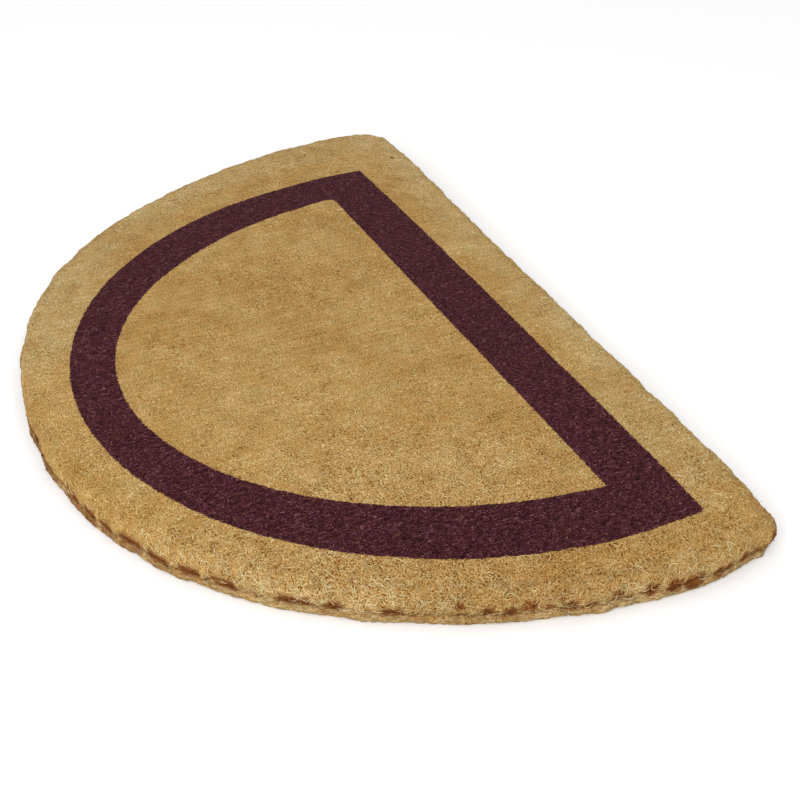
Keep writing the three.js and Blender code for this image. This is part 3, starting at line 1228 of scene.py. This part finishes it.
# %% Curl more of them over the lip
CURLS = 9000
skin = on_skin(side, facing, plan_out, rng.triangular(7, 10, row_count - 1.01, CURLS))
rough = brushed(skin[0][:, 0], skin[0][:, 1])
keep = rng.uniform(0, 1, CURLS) < (0.02 + 0.7 * np.sqrt(rough)) * (1 - 0.95 * rust_and_hollow_shade(skin[0]))
skin = [part[keep] for part in skin]
count = len(skin[0])
lengths = rng.triangular(7, 10, 18, count) * MM
lean = (rng.normal(0.6, 0.7, count), rng.normal(0, 1.0, count), rng.normal(0, 0.06, count))
loft = 0.3 + 0.7 * rough[keep]
roots, headings, bows = laid_on(skin, lean, lengths, (0.2, 0.6), (0.2, 1.0), SIDE_ROUNDNESS, loft)
bows += swayed(np.cross(headings, skin[1]), 0.28, lengths)
curls = (roots, headings, lengths, bows)

# %% Place the scraps of husk and join them all
# along X and Y, length and width in millimetres, and the bearing in degrees
HUSK_SCRAPS = np.array(
    [[-377, 276, 8, 2.6, 35], [2, 75, 5, 1.3, 60], [108, 93, 4, 1.1, -20], [-38, 78, 5, 1.2, 10]]
)
x, y, lengths, scrap_widths = HUSK_SCRAPS[:, :4].T * MM
bearing = np.radians(HUSK_SCRAPS[:, 4])
headings = np.stack([np.cos(bearing), np.sin(bearing), 0 * bearing], 1)
places = np.stack([x, y, top_level(x, y) + 0.2 * MM], 1)
scraps = (places - headings * (0.5 * lengths)[:, None], headings, lengths, 0 * headings)
widths = rng.uniform(0.4, 0.7, len(strays[0]) + len(curls[0])) * MM
shades = np.clip(rng.normal(0.95, 0.12, len(widths)), 0, 1)
fibres = [np.concatenate(parts) for parts in zip(strays, curls, scraps)]
fibres.append(np.concatenate([widths, scrap_widths]))
shades = np.concatenate([shades, 0 * scrap_widths])
pale_fibre = fibre_finish("pale coir fibre", PALE)
fibre_piece("stray_fibres", pale_fibre, fibres, shades, rings=4)

# %% [markdown]
# ## Floor and light
# The photograph has a white ground and hardly a shadow, so the light comes from everywhere: a white
# sky, and one broad lamp on the camera's side to give the fibres a lit and a shaded flank.

# %% Lay the floor
FLOOR_HALF = 6.0
FLOOR_COLOUR = (0.93, 0.93, 0.93, 1)
floor_mesh = bpy.data.meshes.new("floor")
floor_places = np.array([[-1, -1, 0], [1, -1, 0], [1, 1, 0], [-1, 1, 0]]) * FLOOR_HALF
floor_mesh.from_pydata(floor_places.tolist(), [], [(0, 1, 2, 3)])
floor = bpy.data.objects.new("floor", floor_mesh)
bpy.context.collection.objects.link(floor)
floor_paint, place = new_finish("pale floor")
shader = place.node("BsdfPrincipled", {}, {"Base Color": FLOOR_COLOUR, "Roughness": 0.9})
place.node("OutputMaterial", {}, {"Surface": shader})
floor_mesh.materials.append(floor_paint)

# %% Light the scene
SKY_STRENGTH = 1.0
LAMP_POWER = 20.0
LAMP_SIZE = 1.2
LAMP_AT = (1.3, -1.2, 1.1)
sky = bpy.data.worlds.new("white sky")
bpy.context.scene.world = sky
sky.use_nodes = True
background = sky.node_tree.nodes["Background"]
background.inputs["Color"].default_value = (1, 1, 1, 1)
background.inputs["Strength"].default_value = SKY_STRENGTH
lamp = bpy.data.objects.new("lamp", bpy.data.lights.new("lamp", "AREA"))
bpy.context.collection.objects.link(lamp)
lamp.data.size = LAMP_SIZE
lamp.data.energy = LAMP_POWER
lamp.location = LAMP_AT
aim = -np.array(LAMP_AT)  # the lamp looks at the origin
lamp.rotation_euler = (math.atan2(math.hypot(aim[0], aim[1]), -aim[2]), 0, math.atan2(-aim[0], aim[1]))
bpy.context.scene.view_settings.view_transform = "Standard"
